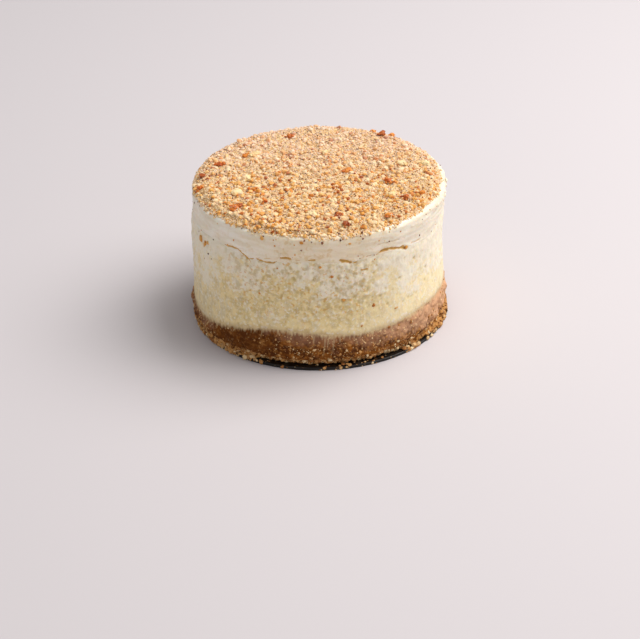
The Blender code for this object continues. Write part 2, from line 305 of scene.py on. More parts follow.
class Paint:
    """The node tree of one material, the colour laid on it so far, and the nodes that the finishes use."""

    def __init__(self, name: str) -> None:
        """Start a material with an empty Principled surface.

        Args:
            name: the material's name.
        """
        self.material = bpy.data.materials.new(name)
        self.material.use_nodes = True
        self.tree = self.material.node_tree
        self.shader = self.tree.nodes["Principled BSDF"]
        self.place = self.node("ShaderNodeTexCoord", {}, {}, "Object")
        self.colour: Any = None

    def node(
        self, kind: str, settings: dict[str, Any], inputs: dict[Any, Any], output: str | None = None
    ) -> Field:
        """Add a node.

        Args:
            kind: its type.
            settings: its own settings, set before its sockets.
            inputs: values or links of its sockets, by name or number.
            output: name of the output that is used, or None for its first one.

        Returns:
            The output as a field.
        """
        made = self.tree.nodes.new(kind)
        for name, value in settings.items():
            setattr(made, name, value)
        for key, value in inputs.items():
            self.feed(made.inputs[key] if isinstance(key, int) else self.named(made.inputs, key), value)
        return Field(self, self.named(made.outputs, output))

    @staticmethod
    def named(sockets: Any, name: str | None) -> bpy.types.NodeSocket:
        """The first socket in use that has a name, or the first in use at all."""
        return next(socket for socket in sockets if socket.enabled and name in (None, socket.name))

    def feed(self, socket: bpy.types.NodeSocket, value: Any) -> None:
        """Link a field to a socket, or set its value.

        Args:
            socket: the input.
            value: the field or the value.
        """
        if isinstance(value, Field):
            self.tree.links.new(value.socket, socket)
        else:
            socket.default_value = value

    def stretched(self, across: float, up: float) -> Field:
        """Object coordinates on which a pattern comes out longer, level and upwards, by these factors."""
        scale = (1.0 / across, 1.0 / across, 1.0 / up)
        return self.node("ShaderNodeMapping", {}, {"Vector": self.place, "Scale": scale})

    def along(self, axis: str) -> Field:
        """The Object coordinate along an axis."""
        return self.node("ShaderNodeSeparateXYZ", {}, {"Vector": self.place}, axis)

    def cloud(
        self, width: float, detail: float = 2.0, place: Field | None = None, seed: float = 0.0
    ) -> Field:
        """Soft noise from 0 to 1.

        Args:
            width: width of its lumps.
            detail: number of ever finer layers.
            place: coordinates, or None for Object coordinates.
            seed: which of many like patterns it is.

        Returns:
            The noise.
        """
        inputs = {"Vector": place or self.place, "W": seed, "Scale": 1.0 / width, "Detail": detail}
        return self.node("ShaderNodeTexNoise", {"noise_dimensions": "4D"}, inputs)

    def mark(self, name: str) -> Field:
        """A number that the mesh holds at each point."""
        return self.node("ShaderNodeAttribute", {"attribute_name": name}, {}, "Fac")

    def mix(self, factor: Any, base: Any, over: Any) -> Field:
        """One colour laid over another by a factor from 0 to 1."""
        settings = {"data_type": "RGBA", "clamp_factor": True}
        return self.node("ShaderNodeMix", settings, {"Factor": factor, "A": base, "B": over})

    def lay(self, over: Any, factor: Any = 1.0) -> None:
        """Lay a screen colour or a field of colour over the whole surface, or by a field from 0 to 1."""
        over = seen(over) if isinstance(over, str) else over
        self.colour = self.mix(factor, self.colour, over) if isinstance(factor, Field) else over

    def bump(self, height: Field, distance: float, coarse: Field | None = None) -> Field:
        """Surface direction bent by a height from 0 to 1, which stands out by a distance.

        Args:
            height: the height.
            distance: how far 1 stands out.
            coarse: surface direction of a coarser bump below it, or None.

        Returns:
            The bent direction.
        """
        inputs = {"Height": height, "Distance": distance, "Strength": 1.0}
        return self.node("ShaderNodeBump", {}, inputs | ({"Normal": coarse} if coarse else {}))

    def close(self, relief: Field) -> None:
        """Give the surface the colour laid so far and the direction of its relief."""
        self.feed(self.shader.inputs["Base Color"], self.colour)
        self.feed(self.shader.inputs["Normal"], relief)


@dataclass(frozen=True)
class Finish:
    """What all finishes share: a name, a gloss and the soft glow of light inside the food."""

    name: str
    roughness: float = 0.6
    glow: float = 0.0
    glow_depth: float = 1.0 * MM
    shine: float = 0.35

    def material(self) -> bpy.types.Material:
        """The material of the finish, made once.

        Returns:
            The material.
        """
        kept = bpy.data.materials.get(f"{self.name}_finish")
        if kept:
            return kept
        paint = Paint(f"{self.name}_finish")
        settings = {
            "Roughness": self.roughness,
            "Specular IOR Level": self.shine,
            "Subsurface Weight": self.glow,
            "Subsurface Scale": self.glow_depth,
            "Subsurface Radius": (1.0, 0.62, 0.36),
        }
        for name, value in settings.items():
            paint.shader.inputs[name].default_value = value
        self.dress(paint)
        return paint.material

    def dress(self, paint: Paint) -> None:
        """Feed the surface's colour and relief."""
        raise NotImplementedError


@dataclass(frozen=True)
class CardFinish(Finish):
    """Near-black coated card with a dusting of fine crumb."""

    black: str = "15100E"
    # Colour of the fine crumb dust on the card.
    dust_and_sheen: str = "9A6A3C"

    def dress(self, paint: Paint) -> None:
        """Dust the card with cloudy patches of fine crumb.

        Args:
            paint: the material's paint.
        """
        patches = paint.cloud(3.0 * MM, 3.0).between(0.55, 0.72)
        dusting = patches * paint.cloud(0.35 * MM, 2.0, seed=3.0).between(0.56, 0.66)
        paint.lay(self.black)
        paint.lay(self.dust_and_sheen, dusting)
        paint.feed(paint.shader.inputs["Roughness"], 0.38 + 0.5 * dusting)
        paint.close(paint.bump(dusting, 0.05 * MM))


@dataclass(frozen=True)
class BiscuitFinish(Finish):
    """Pressed biscuit crumb: brown grains, pale flecks and a hazy film up to the filling's border, with
    painted light on its right-hand side and painted shade in its cavities and on its front-left.
    """

    # Deep brown of the crumb, also laid as painted shade in the cavities.
    deep_brown_and_shade: str = "53290A"
    brown: str = "8A5017"
    tan: str = "BD8240"
    pale: str = "E6C590"
    film: str = "91684F"
    # Lit copy of the film's colour: painted light on the right-hand side.
    painted_lit_film: str = "D9AA86"
    gold: str = "C99458"
    # Caramel brown darkened as painted shade, for the front-left without film.
    caramel_in_shade: str = "5C2F06"
    smear: str = "D9C296"

    def dress(self, paint: Paint) -> None:
        """Colour the grains, then lay the film and the filling's smears over them, with painted light and
        painted shade in the grains and the film.

        Args:
            paint: the material's paint.
        """
        rise, light, bare = (paint.mark(name) for name in ("rise", "light", "bare"))
        mottle = paint.cloud(3.4 * MM, 4.0)
        grains = paint.cloud(0.9 * MM, 3.0, seed=1.0)
        paint.lay(self.deep_brown_and_shade)
        paint.lay(self.brown, mottle.between(0.40, 0.58))
        # Painted light: the tan grains grow stronger on the right-hand side, which faces the key lamp.
        paint.lay(self.tan, grains.between(0.50, 0.64) * (0.6 + 0.4 * light))
        # Painted shade: deep brown laid in the low cavities of the relief.
        paint.lay(self.deep_brown_and_shade, paint.mark("relief").between(0.34, 0.10) * 0.8)
        # Partly painted shade: the front-left without film is real caramel brown, painted darker for the
        # shade on the cake's left, and its pale flecks are fainter.
        paint.lay(self.caramel_in_shade, bare * (0.9 - 0.5 * grains))
        haze = paint.cloud(3.6 * MM, 4.0, paint.stretched(1.0, 0.8), 5.0)
        streaks = paint.cloud(0.8 * MM, 3.0, paint.stretched(1.0, 6.0), 2.0)
        # Painted light and shade: the film spreads further and turns to its lit copy on the right-hand side,
        # which faces the key lamp, and gives way on the shaded front-left.
        film = rise + 14.0 * (haze - 0.5) + 4.0 * (streaks - 0.5) + 4.5 * light - 5.0 * bare
        film_with_painted_light = paint.mix(light, seen(self.film), seen(self.painted_lit_film))
        paint.lay(film_with_painted_light, film.between(-6.2, -0.2) * (0.55 + 0.5 * grains))
        low_edge = (paint.mark("low") + 3.0 * (mottle - 0.5)).between(2.6, 0.6)
        paint.lay(self.tan, low_edge * grains.between(0.38, 0.56) * 0.8)
        ridge = (paint.mark("ridge") + 1.6 * (mottle - 0.5)).between(0.1, 0.5)
        paint.lay(self.gold, ridge * grains.between(0.40, 0.56) * 0.85)
        flecks = paint.cloud(0.55 * MM, 1.0, seed=8.0).between(0.65, 0.69)
        paint.lay(self.pale, flecks * (0.8 - 0.6 * bare))
        edge = (rise + 4.0 * (streaks - 0.5)).between(-1.6, 0.6)
        paint.lay(self.smear, edge.larger(paint.mark("drip") * 0.45))
        paint.close(paint.bump(paint.cloud(0.3 * MM, 3.0, seed=4.0), 0.10 * MM))


@dataclass(frozen=True)
class CrackedFinish(Finish):
    """What the filling and the cream share: ochre cracks with painted shade along their middles."""

    ochre: str = "D69E38"
    # Painted shade along the middles of the cracks.
    crack_shade: str = "80602A"

    def cracks(self, paint: Paint) -> None:
        """Colour the cracks that the mesh marks: ochre stains, with painted shade along their middles.

        Args:
            paint: the material's paint.
        """
        crack = paint.mark("crack")
        paint.lay(self.ochre, crack.between(0.2, 0.7) * 0.9)
        # Painted shade: darker along the middle of each crack.
        paint.lay(self.crack_shade, crack.between(0.8, 1.0) * 0.35)


@dataclass(frozen=True)
class FillingFinish(CrackedFinish):
    """Set cream cheese: yellow low down, whiter and torn above, smeared upright, with small pits, painted
    light on its right-hand side and painted shade in small patches of hollows.
    """

    yellow: str = "F1DCA6"
    olive: str = "D8C187"
    # Paler colour laid over the right-hand side as painted light.
    light: str = "FBEBC4"
    # Darker colour laid as painted shade of small hollows.
    hollow_shade: str = "C4AC74"
    grey: str = "DCD0B4"
    white: str = "F4EBD8"
    brown: str = "AB8560"

    def dress(self, paint: Paint) -> None:
        """Colour the smears, the painted light on the right, the torn film, the pits, the painted shade of
        hollows and the cracks, and the lower border.

        Args:
            paint: the material's paint.
        """
        smeared = paint.mark("smeared")
        speckled = paint.mark("speckled")
        streaks = paint.cloud(1.2 * MM, 4.0, paint.stretched(1.0, 5.0), 1.0)
        mottle = paint.cloud(1.9 * MM, 4.0, seed=2.0)
        grains = paint.cloud(0.75 * MM, 3.0, seed=7.0)
        paint.lay(self.yellow)
        paint.lay(self.olive, mottle.between(0.40, 0.66))
        # Painted light: the paler colour over the right-hand side, which faces the key lamp.
        paint.lay(self.light, paint.along("X").between(4.0 * MM, 28.0 * MM) * 0.45)
        paint.lay(self.grey, streaks.between(0.46, 0.68) * (0.2 + 0.6 * smeared))
        paint.lay(self.white, grains.between(0.54, 0.64) * 0.75)
        torn = paint.mark("film") + 2.6 * (grains - 0.5) + 2.0 * (mottle - 0.5)
        paint.lay(self.white, torn.between(0.0, 1.0) * 0.88)
        stains = paint.cloud(1.1 * MM, 3.0, seed=13.0).between(0.55, 0.67)
        paint.lay(self.ochre, stains * speckled * 0.7)
        # Painted shade: darker patches that stand for small hollows in the speckled front.
        shaded_hollows = paint.cloud(1.9 * MM, 4.0, seed=17.0).between(0.50, 0.64)
        paint.lay(self.hollow_shade, shaded_hollows * speckled * 0.6)
        paint.lay(self.grey, paint.cloud(2.6 * MM, 3.0, seed=11.0).between(0.54, 0.70) * 0.4)
        paint.lay(self.olive, paint.mark("pit") * 0.85)
        border = (paint.mark("rise") + 3.0 * (streaks - 0.5)).between(2.0, -0.8)
        paint.lay(self.brown, border * 0.5)
        self.cracks(paint)
        soft = paint.bump(mottle + 0.4 * smeared * streaks, 0.12 * MM)
        paint.close(paint.bump(grains, 0.12 * MM, soft))


@dataclass(frozen=True)
class CreamFinish(CrackedFinish):
    """Whipped cream: off-white, smooth, with level smears, cloudy stains, cracks and painted shade on its
    right-hand side.
    """

    white: str = "F9F1E3"
    # Greyer colour of the level smears, also laid as painted shade on the right-hand side.
    smear_grey_and_shade: str = "EDE0C8"
    stain: str = "DDBB7E"
    tint: str = "EBD0A0"

    def dress(self, paint: Paint) -> None:
        """Colour the level smears, the warmer middle, the painted shade on the right, the stains and the
        cracks.

        Args:
            paint: the material's paint.
        """
        across = paint.along("X")
        grains = paint.cloud(0.75 * MM, 3.0, seed=7.0)
        smears = paint.cloud(1.6 * MM, 4.0, paint.stretched(5.0, 1.0), 1.0)
        middle = across.between(34.0 * MM, 8.0 * MM) * across.between(-26.0 * MM, -6.0 * MM)
        paint.lay(self.white)
        paint.lay(self.smear_grey_and_shade, smears.between(0.35, 0.7))
        paint.lay(self.tint, middle * 0.38)
        # Painted shade: the greyer colour over the right-hand side, to tone down the key lamp's light there.
        paint.lay(self.smear_grey_and_shade, across.between(24.0 * MM, 38.0 * MM) * 0.5)
        stains = (paint.cloud(2.4 * MM, 4.0, seed=5.0) + 0.9 * (grains - 0.5)).between(0.50, 0.78)
        paint.lay(self.stain, stains * (0.2 + 0.4 * middle))
        self.cracks(paint)
        paint.close(paint.bump(grains, 0.05 * MM, paint.bump(smears, 0.16 * MM)))


@dataclass(frozen=True)
class CrumbFinish(Finish):
    """One kind of crumb: two tones that vary from crumb to crumb, a mottle inside each, and a painted sheen
    towards the cake's back.
    """

    low: str = "D8B27A"
    high: str = "F0DDB6"
    core: str = "B98247"
    # Pale pink of the painted sheen, a haze of reflected light, and its share.
    back_sheen: str = "EFCDB8"
    dust_and_sheen: float = 0.0
    mottled: float = 0.5

    def dress(self, paint: Paint) -> None:
        """Vary the colour by each crumb's own tone, mottle it, and lay a painted sheen of pale reflected
        light over it towards the cake's back.

        Args:
            paint: the material's paint.
        """
        paint.lay(self.low)
        paint.lay(self.high, paint.mark("tone"))
        paint.lay(self.core, paint.cloud(0.7 * MM, 3.0).between(0.52, 0.72) * self.mottled)
        # Painted sheen: a pale haze of reflected light, growing towards the cake's back.
        paint.lay(self.back_sheen, paint.along("Y").between(-12.0 * MM, 30.0 * MM) * self.dust_and_sheen)
        paint.close(paint.bump(paint.cloud(0.3 * MM, 3.0, seed=2.0), 0.08 * MM))


@dataclass(frozen=True)
class MealFinish(Finish):
    """The bed of fine meal between the crumbs."""

    pale: str = "E9CFA0"
    gold: str = "D3A163"
    # Brown of the specks, also laid as painted shade in the hollows.
    brown: str = "A86C36"

    def dress(self, paint: Paint) -> None:
        """Mix pale and golden grains with brown specks, and lay painted shade in the hollows.

        Args:
            paint: the material's paint.
        """
        paint.lay(self.pale)
        paint.lay(self.gold, paint.cloud(0.6 * MM, 3.0).between(0.42, 0.62))
        paint.lay(self.brown, paint.cloud(0.5 * MM, 1.0, seed=4.0).between(0.64, 0.70) * 0.8)
        # Painted shade: brown laid in the low hollows of the bed's relief.
        paint.lay(self.brown, paint.mark("relief").between(0.35, 0.0) * 0.6)
        paint.close(paint.bump(paint.cloud(0.3 * MM, 3.0, seed=2.0), 0.12 * MM))


@dataclass(frozen=True)
class FloorFinish(Finish):
    """Plain pale matt floor."""

    pale: str = "CDC8CC"

    def dress(self, paint: Paint) -> None:
        """Give the floor its one colour."""
        paint.shader.inputs["Base Color"].default_value = seen(self.pale)


@dataclass
class Form:
    """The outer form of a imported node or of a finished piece, read with rays from outside it."""

    name: str
    mesh: bpy.types.Mesh
    tree: BVHTree = field(init=False, repr=False)

    def __post_init__(self) -> None:
        """Build the search tree from the mesh."""
        points = [vert.co for vert in self.mesh.vertices]
        self.tree = BVHTree.FromPolygons(points, [face.vertices for face in self.mesh.polygons])

    @classmethod
    def of_node(cls, name: str) -> "Form":
        """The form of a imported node."""
        return cls(name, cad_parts[name].data)

    def radius(self, angle: float, height: float) -> float | None:
        """Distance of the side from the cake's axis, or None where a ray meets nothing."""
        distance = self.tree.ray_cast(at(REACH, angle, height), -heading(angle))[3]
        return None if distance is None else REACH - distance

    def top(self, point: Vector) -> float | None:
        """Height of the upper face over a point, or None beside it."""
        return under(self.tree, point)


@dataclass
class Flat:
    """Level border all round the cake."""

    level: float

    def height(self, angle: float) -> float:
        """Its one height."""
        return self.level


@dataclass
class Border:
    """Wavy height of a border round the cake, read from the upper face of the node below it."""

    form: Form
    ring_radius: float = 38.8 * MM
    heights: np.ndarray = field(init=False, repr=False)

    def __post_init__(self) -> None:
        """Sample the upper face all round."""
        angles = range(0, 360, RING_STEP)
        self.heights = np.array([self.form.top(at(self.ring_radius, angle)) for angle in angles])

    def height(self, angle: float) -> float:
        """Height of the border at an angle.

        Args:
            angle: the angle.

        Returns:
            The height.
        """
        place = (angle % 360.0) / RING_STEP
        before = int(place)
        share = place - before
        first, second = (self.heights[index % len(self.heights)] for index in (before, before + 1))
        return float((1.0 - share) * first + share * second)


@dataclass(frozen=True)
class Spread:
    """A number that changes round the cake, joined smoothly between given angles."""

    knots: tuple[tuple[float, float], ...]

    def at(self, angle: float) -> float:
        """The number at an angle.

        Args:
            angle: the angle.

        Returns:
            The number.
        """
        for (first, start), (last, end) in zip(self.knots, self.knots[1:]):
            if first <= angle <= last:
                return start + (end - start) * ramp(angle, first, last)
        return self.knots[0][1]


# How far past the topping's edge crumbs lie on the rim, in mm
RIM_SPREAD = Spread((
    (-180, 1.6), (-120, 1.9), (-60, 1.9), (-38, 1.1), (-12, 0.9), (0, 1.8), (38, 1.8), (58, 1.1), (105, 1.2),
    (125, 1.9), (180, 1.6),
))
# Share of the card's ledge that crumbs cover
LEDGE_COVER = Spread((
    (-180, 0.7), (-60, 1.0), (-40, 0.95), (-24, 0.10), (34, 0.07), (52, 0.75), (70, 1.0), (180, 0.7),
))
MM_PER_DEGREE = 40.1 * math.radians(1.0)  # mm round the side for each degree


@dataclass
class Crease:
    """A crack or fold in the cake's side: points of (angle, height in mm) and its width."""

    points: tuple[tuple[float, float], ...]
    width: float = 0.35
    depth: float = 0.30
    stain: float = 1.0
    corners: list[Vector] = field(init=False, repr=False)
    heights: tuple[float, float] = field(init=False, repr=False)

    def __post_init__(self) -> None:
        """Lay the points out flat, in mm."""
        self.corners = [Vector((angle * MM_PER_DEGREE, height)) for angle, height in self.points]
        levels = [height for _, height in self.points]
        self.heights = (min(levels) - self.reach, max(levels) + self.reach)

    @property
    def reach(self) -> float:
        """How far from its middle the crease may be seen, in mm."""
        return 1.6 * self.width

    def nearness(self, spot: Vector, swell: float) -> float:
        """Share from 0, away from the crease, to 1, on its middle, at a spot laid out flat.

        Args:
            spot: the spot, in mm.
            swell: factor on the crease's width there.

        Returns:
            The share.
        """
        if not self.corners[0].x - self.reach < spot.x < self.corners[-1].x + self.reach:
            return 0.0
        closest = self.reach
        for start, end in zip(self.corners, self.corners[1:]):
            run = end - start
            share = min(1.0, max(0.0, (spot - start).dot(run) / run.length_squared))
            closest = min(closest, (spot - start - share * run).length)
        return ramp(closest, swell * self.width, 0.2 * swell * self.width)


CREASES = (
    Crease(((-47, 38.0), (-42, 38.3), (-39, 38.3), (-37, 37.4), (-33, 36.3), (-29, 37.0))),
    Crease(((-29, 37.0), (-26, 36.5), (-21, 36.5), (-19, 37.5)), 0.3),
    Crease(((-29, 37.2), (-17, 38.5), (-4, 38.4)), 0.22, 0.2, 0.6),
    Crease(((-17, 38.7), (-15, 38.9), (-12.5, 38.8)), 0.6, 0.4),
    Crease(((-5, 38.3), (-2.5, 38.4)), 0.45, 0.35, 0.9),
    Crease(((9, 38.0), (13, 37.0), (16, 36.6)), 0.45, 0.4),
    Crease(((16, 36.8), (18, 37.6), (22, 38.0), (26, 37.7), (28, 38.4)), 0.25, 0.25, 0.8),
    Crease(((28, 38.4), (32, 38.6), (38, 37.7), (42, 36.6)), 0.7, 0.45),
    Crease(((45, 37.2), (51, 37.0)), 0.35, 0.25, 0.5),
    Crease(((26, 41.2), (33, 41.0), (40, 40.5)), 0.3, 0.25, 0.45),
    Crease(((18, 33.9), (21, 33.6)), 0.35, 0.3),
    Crease(((60, 41.5), (72, 40.6), (84, 40.2)), 0.3, 0.2, 0.2),
    Crease(((-80, 37.2), (-70, 37.6), (-60, 37.0)), 0.3, 0.25, 0.3),
    Crease(((95, 37.0), (118, 38.1), (131, 37.3)), 0.35, 0.3, 0.7),
    Crease(((146, 37.4), (158, 36.6), (171, 37.2)), 0.3, 0.3, 0.8),
    Crease(((-176, 37.5), (-160, 38.2), (-149, 37.4)), 0.4, 0.3, 0.7),
    Crease(((-131, 36.8), (-118, 37.6), (-101, 37.0)), 0.3, 0.3, 0.8),
)
# Small hollows in the filling: angle, height and width in mm
HOLLOWS = (
    (-13, 35.5, 1.8), (-10, 34.4, 1.5), (-12, 32.0, 1.6), (-14, 33.6, 1.0), (-7, 33.8, 0.9), (-3, 31.4, 1.0),
    (15, 24.5, 1.5), (18, 28.5, 1.8), (10, 23.8, 1.6), (21, 26.2, 1.1), (27, 23.0, 1.3), (31, 19.5, 1.1),
    (-33, 27.5, 1.0), (-24, 22.0, 1.2), (-6, 21.5, 1.1), (3, 18.5, 1.0), (38, 27.0, 1.2), (47, 31.5, 1.3),
    (-48, 24.0, 1.1), (57, 25.5, 1.4), (-18, 29.5, 0.9), (7, 28.7, 1.0), (12, 33.9, 1.2), (24, 31.8, 0.9),
)
# Pale drips of filling down the biscuit: angle, and length in mm
DRIPS = ((1.6, 8.5), (2.9, 6.0), (5.4, 7.5), (-3.2, 4.0), (8.1, 3.0), (-27.0, 3.5), (33.0, 3.0), (-60.0, 4.0))


def creased(angle: float, point: Vector) -> tuple[float, float]:
    """Stain and depth, in mm, of the creases at a point of the side, with slightly wandering edges.

    Args:
        angle: the point's angle.
        point: the point.

    Returns:
        The stain, from 0 to 1, and the depth.
    """
    wander = 0.3 * rough(point, 1.6 * MM)
    spot = Vector((angle * MM_PER_DEGREE + wander, point.z / MM + 0.8 * wander))
    stain = depth = 0.0
    for crease in CREASES:
        if crease.heights[0] < spot.y < crease.heights[1]:
            near = crease.nearness(spot, max(0.1, 0.85 + 1.3 * rough(point, 2.0 * MM)))
            stain = max(stain, near * crease.stain)
            depth = max(depth, near * crease.depth)
    return stain, depth


def hollowed(angle: float, point: Vector) -> float:
    """Share from 0 to 1 of the depth of the hand-placed hollows at a point of the side.

    Args:
        angle: the point's angle.
        point: the point.

    Returns:
        The share.
    """
    height = point.z / MM
    deepest = 0.0
    for middle, level, width in HOLLOWS:
        across = (angle - middle) * MM_PER_DEGREE
        if abs(across) < width and abs(height - level) < width:
            distance = math.hypot(across, height - level) + 0.25 * width * rough(point, 0.9 * MM)
            deepest = max(deepest, ramp(distance, 0.6 * width, 0.15 * width))
    return deepest


@dataclass
class Skin:
    """A finely modelled layer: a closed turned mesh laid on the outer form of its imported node.

    The side of a layer that has another beside it meets that one's at their border.
    """

    form: Form
    finish: Finish
    slot: str
    below: Border | Flat
    above: Border | Flat
    beside: Form | None = None
    steps: int = 720
    rows: int = 70
    smoothing: int = 16
    lap_below: float = 0.35 * MM
    lap_above: float = 0.35 * MM
    mark_names: tuple[str, ...] = ()

    def profile(self) -> list[tuple[float, float]]:
        """Points of (share of the radius, level), from the axis below, out, up and back to the axis."""
        side = [(1.0, row / self.rows) for row in range(self.rows + 1)]
        return [(0.0, 0.0), (0.5, 0.0), (0.93, 0.0)] + side + [(0.93, 1.0), (0.5, 1.0), (0.0, 1.0)]

    def turned(self) -> bmesh.types.BMesh:
        """The profile turned all round the Z axis.

        Returns:
            The shape, with shares of the radius across and levels along Z.
        """
        shape = bmesh.new()
        points = [shape.verts.new((share, 0.0, level)) for share, level in self.profile()]
        edges = [shape.edges.new(pair) for pair in zip(points, points[1:])]
        bmesh.ops.spin(
            shape,
            geom=points + edges,
            cent=(0.0, 0.0, 0.0),
            axis=UP,
            angle=math.tau,
            steps=self.steps,
            use_merge=True,
            use_duplicate=False,
        )
        bmesh.ops.remove_doubles(shape, verts=shape.verts, dist=1e-5)
        return shape

    def side(self, angle: float, height: float) -> float:
        """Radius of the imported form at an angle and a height, kept clear of the form's own edges."""
        inside = max(self.below.height(angle) + NODE_GAP + EDGE_MARGIN, height)
        return self.form.radius(angle, min(self.above.height(angle) - EDGE_MARGIN, inside)) or SIDE_RADIUS

    def step_to(self, point: Vector, angle: float, height: float) -> float:
        """How far, in mm, the layer beside this one stands out past a point, at an angle and a height."""
        return ((self.beside.radius(angle, height) or SIDE_RADIUS) - off_axis(point)) / MM + 0.03

    def place(self, share: float, level: float, angle: float) -> Vector:
        """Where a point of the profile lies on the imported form.

        Args:
            share: its share of the radius.
            level: its level in the layer.
            angle: its angle round the cake.

        Returns:
            The place.
        """
        foot = self.below.height(angle) - self.lap_below
        height = foot + level * (self.above.height(angle) + self.lap_above - foot)
        return at(share * self.side(angle, height), angle, height)

    def surface(self, point: Vector, level: float, angle: float) -> tuple[float, Marks]:
        """Relief and marks of a point of the side.

        Args:
            point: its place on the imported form.
            level: its level in the layer.
            angle: its angle round the cake.

        Returns:
            How far it stands out, in mm, and the numbers that the mesh keeps there for the finish.
        """
        raise NotImplementedError

    def build(self) -> bpy.types.Object:
        """Lay the turned mesh on the form, smooth its facets, raise its relief and dress it.

        Returns:
            The piece.
        """
        shape = self.turned()
        layers = {name: shape.verts.layers.float.new(name) for name in self.mark_names}
        codes = []
        for vert in shape.verts:
            angle = math.degrees(math.atan2(vert.co.x, -vert.co.y))
            codes.append((vert, math.hypot(vert.co.x, vert.co.y), vert.co.z, angle))
        for vert, share, level, angle in codes:
            vert.co = self.place(share, level, angle)
        last = self.profile()[-1][1]
        inner = [vert for vert, share, level, _ in codes if share > SIDE_SHARE and 0.0 < level < last]
        smoothed(shape, inner, self.smoothing)
        for vert, share, level, angle in codes:
            if share < SIDE_SHARE:
                continue
            out, marks = self.surface(vert.co.copy(), level, angle)
            vert.co = boxed(vert.co + out * MM * heading(angle))
            for name, value in marks.items():
                vert[layers[name]] = value
        name = f"{self.form.name}_skin"
        return put(name, mesh_of(shape, name), self.finish, self.form.name)


@dataclass
class BiscuitBase(Skin):
    """Pressed biscuit: grains and crags, calmer under the hazy film near its top."""

    steps: int = 900
    rows: int = 52
    smoothing: int = 8
    lap_below: float = 0.0
    mark_names: tuple[str, ...] = ("rise", "relief", "light", "bare", "low", "drip", "ridge")

    def surface(self, point: Vector, level: float, angle: float) -> tuple[float, Marks]:
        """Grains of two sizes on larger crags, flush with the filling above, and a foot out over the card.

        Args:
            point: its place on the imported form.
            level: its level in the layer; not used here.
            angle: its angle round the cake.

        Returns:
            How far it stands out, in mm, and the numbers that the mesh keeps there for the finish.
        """
        top = self.above.height(angle)
        rise = (point.z - top) / MM
        foot = (point.z - LEDGE_HEIGHT) / MM
        calm = 1.0 - 0.65 * ramp(rise + 3.0 * rough(point, 6.0 * MM), -3.0, -0.5)
        crags = rough(point, 3.2 * MM, 3)
        relief = 0.5 * grain_field(point, 1.8 * MM) + 0.35 * grain_field(point, 0.9 * MM)
        relief += 0.3 * (0.5 + 0.8 * crags)
        out = calm * (0.75 * (relief - 0.55) + 0.45 * crags) * ramp(rise, 0.0, -1.2)
        if rise > -JOIN_DEPTH:
            out += self.step_to(point, angle, top + 0.7 * MM) * ramp(rise, -JOIN_DEPTH, -0.2) - sunk(rise)
        cover = LEDGE_COVER.at(angle)
        ridge = cover * ramp(foot - 1.3 * rough(point, 3.0 * MM), 2.6, 0.6)
        room = (CARD_RADIUS - off_axis(point)) / MM
        out += max(0.0, room + 0.1 + 0.9 * (relief - 0.5)) * ridge
        out -= 0.5 * (1.0 - cover) * ramp(foot, 0.9, 0.0)
        drips = (
            ramp(abs(angle - middle - 0.15 * rise), 0.4, 0.05) * ramp(rise, -length, -0.4 * length)
            for middle, length in DRIPS
        )
        return out, {
            "rise": rise,
            "relief": relief * calm + 0.5 * (1.0 - calm),
            # Painted light: 1 on the right-hand side, which faces the key lamp, for the finish's lit colours.
            "light": ramp(abs((angle + 100.0) % 360.0 - 180.0), 75.0, 15.0),
            # 1 on the front-left, which has no film and takes the painted shade.
            "bare": ramp(abs(angle + 38.0), 26.0, 8.0),
            "low": foot,
            "drip": max(drips),
            "ridge": ridge,
        }


@dataclass
class CheeseFilling(Skin):
    """Set cream cheese with upright smears, a torn whitish film in its upper half, and pits."""

    mark_names: tuple[str, ...] = ("rise", "film", "pit", "crack", "smeared", "speckled")

    def surface(self, point: Vector, level: float, angle: float) -> tuple[float, Marks]:
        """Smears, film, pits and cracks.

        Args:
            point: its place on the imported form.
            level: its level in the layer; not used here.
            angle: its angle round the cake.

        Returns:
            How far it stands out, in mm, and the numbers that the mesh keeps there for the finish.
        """
        rise = (point.z - self.below.height(angle)) / MM
        drop = (self.above.height(angle) - point.z) / MM
        height = point.z / MM
        left_film = 0.8 * ramp(abs(angle + 85.0), 32.0, 16.0)
        right_film = 0.9 * ramp(abs(angle - 86.0), 32.0, 14.0) * ramp(height, 16.0, 24.0)
        patches = 1.3 * rough(point, 6.0 * MM, 5, tall=0.8)
        film = ramp(patches + (height - 26.5) / 11.0 + left_film + right_film, -0.6, 0.7)
        film = max(film, ramp(drop, 3.0, 0.5))
        torn = rough(point, 1.5 * MM, 3, tall=1.5)
        smeared = ramp(abs(angle + 75.0), 45.0, 15.0)
        speckled = ramp(abs(angle + 9.0), 47.0, 24.0) * ramp(height, 13.0, 22.0)
        pit = max(hollowed(angle, point), 0.6 * pit_share(point, 2.4 * MM, 1.3 * MM))
        stain, dent = creased(angle, point)
        calm = 1.0 - 0.6 * ramp(abs(angle - 60.0), 50.0, 30.0)
        relief = (0.04 + 0.12 * smeared) * rough(point, 1.3 * MM, 3, tall=5.0)
        relief += 0.10 * torn + film * (0.10 + 0.26 * torn)
        relief = calm * relief + 0.32 * speckled * rough(point, 1.1 * MM) - 0.35 * pit
        out = relief * ramp(drop, 0.0, 1.2) * ramp(rise, 0.0, 1.2) - dent - sunk(-rise) - sunk(-drop)
        marks = {"rise": rise, "film": film, "pit": pit, "crack": stain}
        return out, marks | {"smeared": smeared, "speckled": speckled}


